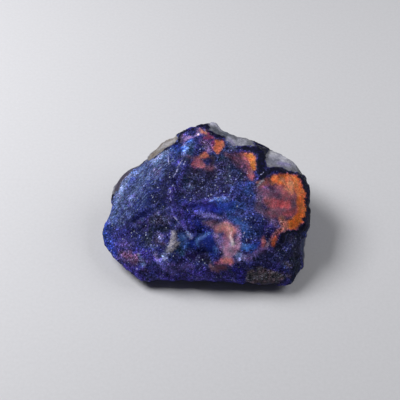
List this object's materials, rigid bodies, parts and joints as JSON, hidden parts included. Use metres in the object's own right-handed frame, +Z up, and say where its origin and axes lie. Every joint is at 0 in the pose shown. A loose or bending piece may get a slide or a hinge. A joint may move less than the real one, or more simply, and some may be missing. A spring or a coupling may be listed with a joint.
{
  "type": "afghanite mineral specimen",
  "caption": "Rough broken lump of blue and violet afghanite rock with orange patches on pale marble, a thumbnail mineral specimen that rests on its flat foot.",
  "frame": {"origin": "middle of the lump's bounding box, on the surface it rests on", "axes": "+X runs along the lump's length, to the right when its display face is seen; +Y points away from the display face to the marble back; +Z is up"},
  "size_m": [0.032, 0.0246, 0.0131],
  "materials": {
    "blue_rock": "sugary broken crystal rock, satin to slightly glassy, deep blue and violet with orange patches, pale marble along the back"
  },
  "bodies": {
    "root": {"afghanite_stone": "blue_rock"}
  },
  "joints": []
}
